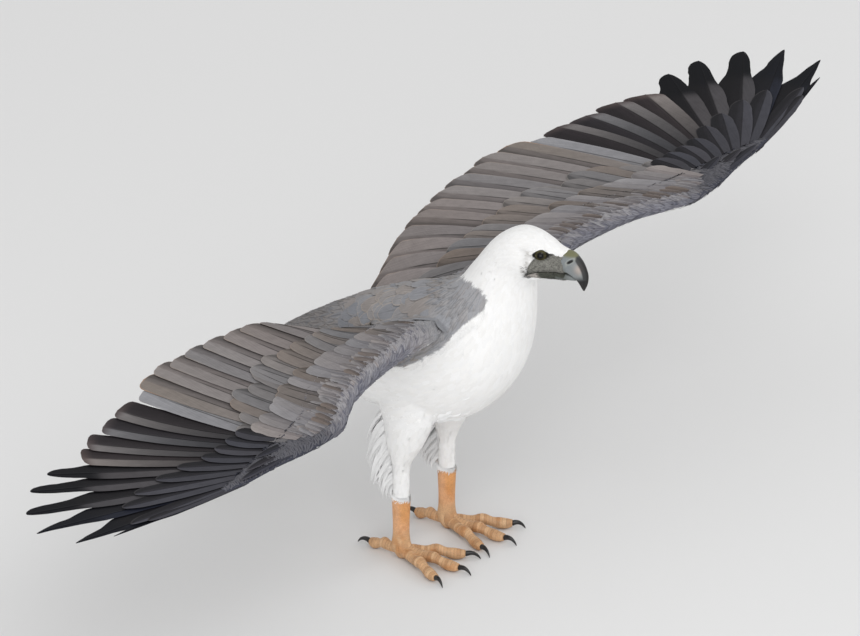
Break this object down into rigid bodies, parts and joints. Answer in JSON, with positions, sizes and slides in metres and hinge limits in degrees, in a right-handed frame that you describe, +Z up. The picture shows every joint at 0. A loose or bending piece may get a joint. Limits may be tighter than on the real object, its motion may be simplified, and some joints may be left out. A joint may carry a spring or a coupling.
{
  "type": "white-bellied sea eagle",
  "caption": "Standing sea eagle with a white head, neck and belly, hooked bill, and slate grey wings spread flat out to the sides.",
  "frame": {"origin": "on the floor, under the middle of the bounding box", "axes": "+X towards the bird's left wing tip, +Z up, the bird looks along -Y"},
  "size_m": [1.937, 0.7443, 0.5916],
  "materials": {
    "white_plumage": "soft white feathers",
    "wing_plumage": "slate grey feathers, darker at the tips",
    "bill_horn": "satin blue-grey horn",
    "eye": "wet dark brown",
    "leg_skin": "dry tan scales",
    "claw_horn": "polished black horn"
  },
  "bodies": {
    "root": {"torso": "white_plumage", "neck": "white_plumage", "head": "white_plumage", "tail": "white_plumage", "thigh_left": "white_plumage", "thigh_right": "white_plumage", "wing_left": "wing_plumage", "wing_right": "wing_plumage", "bill_upper": "bill_horn", "bill_lower": "bill_horn", "eye_left": "eye", "eye_right": "eye", "tarsus_left": "leg_skin", "foot_left": "leg_skin", "claw_left_inner": "claw_horn", "claw_left_middle": "claw_horn", "claw_left_outer": "claw_horn", "claw_left_hind": "claw_horn", "tarsus_right": "leg_skin", "foot_right": "leg_skin", "claw_right_inner": "claw_horn", "claw_right_middle": "claw_horn", "claw_right_outer": "claw_horn", "claw_right_hind": "claw_horn"}
  },
  "joints": []
}
